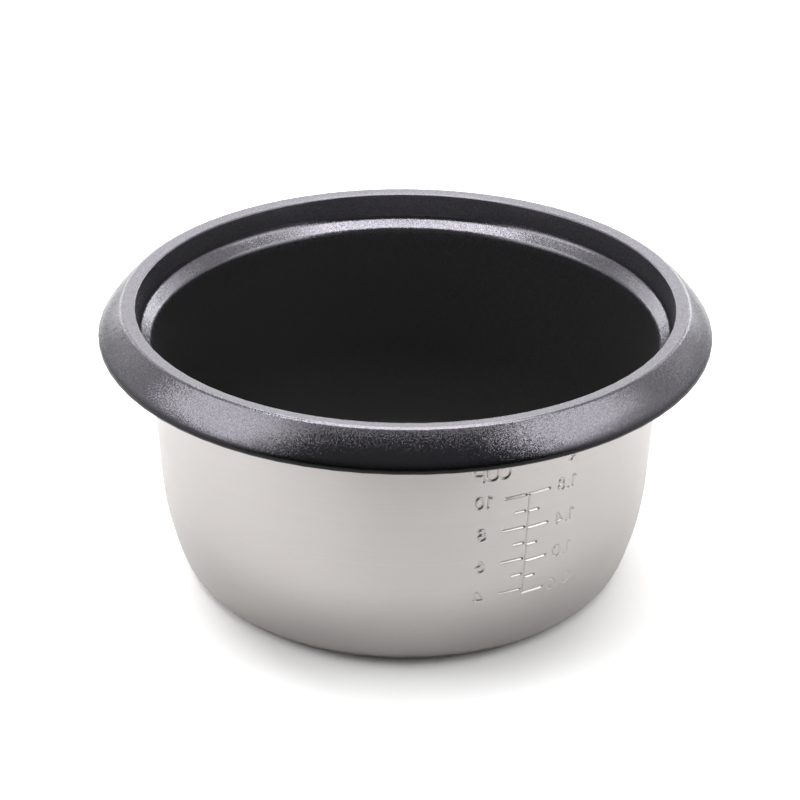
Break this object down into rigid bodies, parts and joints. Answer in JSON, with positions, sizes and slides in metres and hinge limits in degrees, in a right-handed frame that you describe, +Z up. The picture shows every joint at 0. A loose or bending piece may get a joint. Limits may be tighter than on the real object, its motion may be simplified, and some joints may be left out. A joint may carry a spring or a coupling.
{
  "type": "rice cooker inner pot",
  "caption": "Round open aluminium cooking pot with a dark non-stick lining, a stepped ledge, a flared rim with a curled hem, and level marks coined into the wall.",
  "frame": {"origin": "centre of the flat base's underside, on the surface that the pot stands on", "axes": "+Z up along the pot's axis, -Y towards the viewer, with the level scale to the viewer's right"},
  "size_m": [0.2738, 0.2738, 0.129],
  "materials": {
    "bare_aluminium": "satin, drawn and lightly polished",
    "nonstick_coating": "satin black with fine mica sparkle"
  },
  "bodies": {
    "root": {"pot_shell": "bare_aluminium", "nonstick_lining": "nonstick_coating"}
  },
  "joints": []
}
